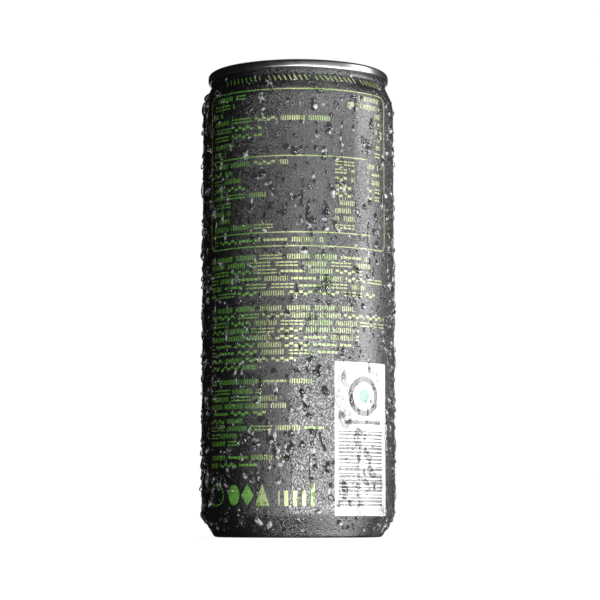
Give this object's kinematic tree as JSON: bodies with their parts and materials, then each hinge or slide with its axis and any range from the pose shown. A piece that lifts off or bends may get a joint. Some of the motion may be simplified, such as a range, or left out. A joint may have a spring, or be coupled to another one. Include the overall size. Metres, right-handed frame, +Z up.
{
  "type": "soda can",
  "caption": "Slim upright metal drink can, shut, with a tapered foot, a necked shoulder, a seamed lid, a pull tab and water drops on its dark matt print.",
  "frame": {"origin": "centre of the can's foot, on the surface that it stands on", "axes": "+Z up along the can; the mouth and the nose of the pull tab point to -Y, the tab's heel to +Y"},
  "size_m": [0.054, 0.0541, 0.1282],
  "materials": {
    "printed_coat": "matt black printed can coat, pebbled with mist and water drops",
    "bare_aluminium": "satin rolled aluminium",
    "tab_aluminium": "bright stamped aluminium"
  },
  "bodies": {
    "root": {"can_body": "printed_coat", "can_end": "bare_aluminium", "pull_tab": "tab_aluminium"}
  },
  "joints": []
}
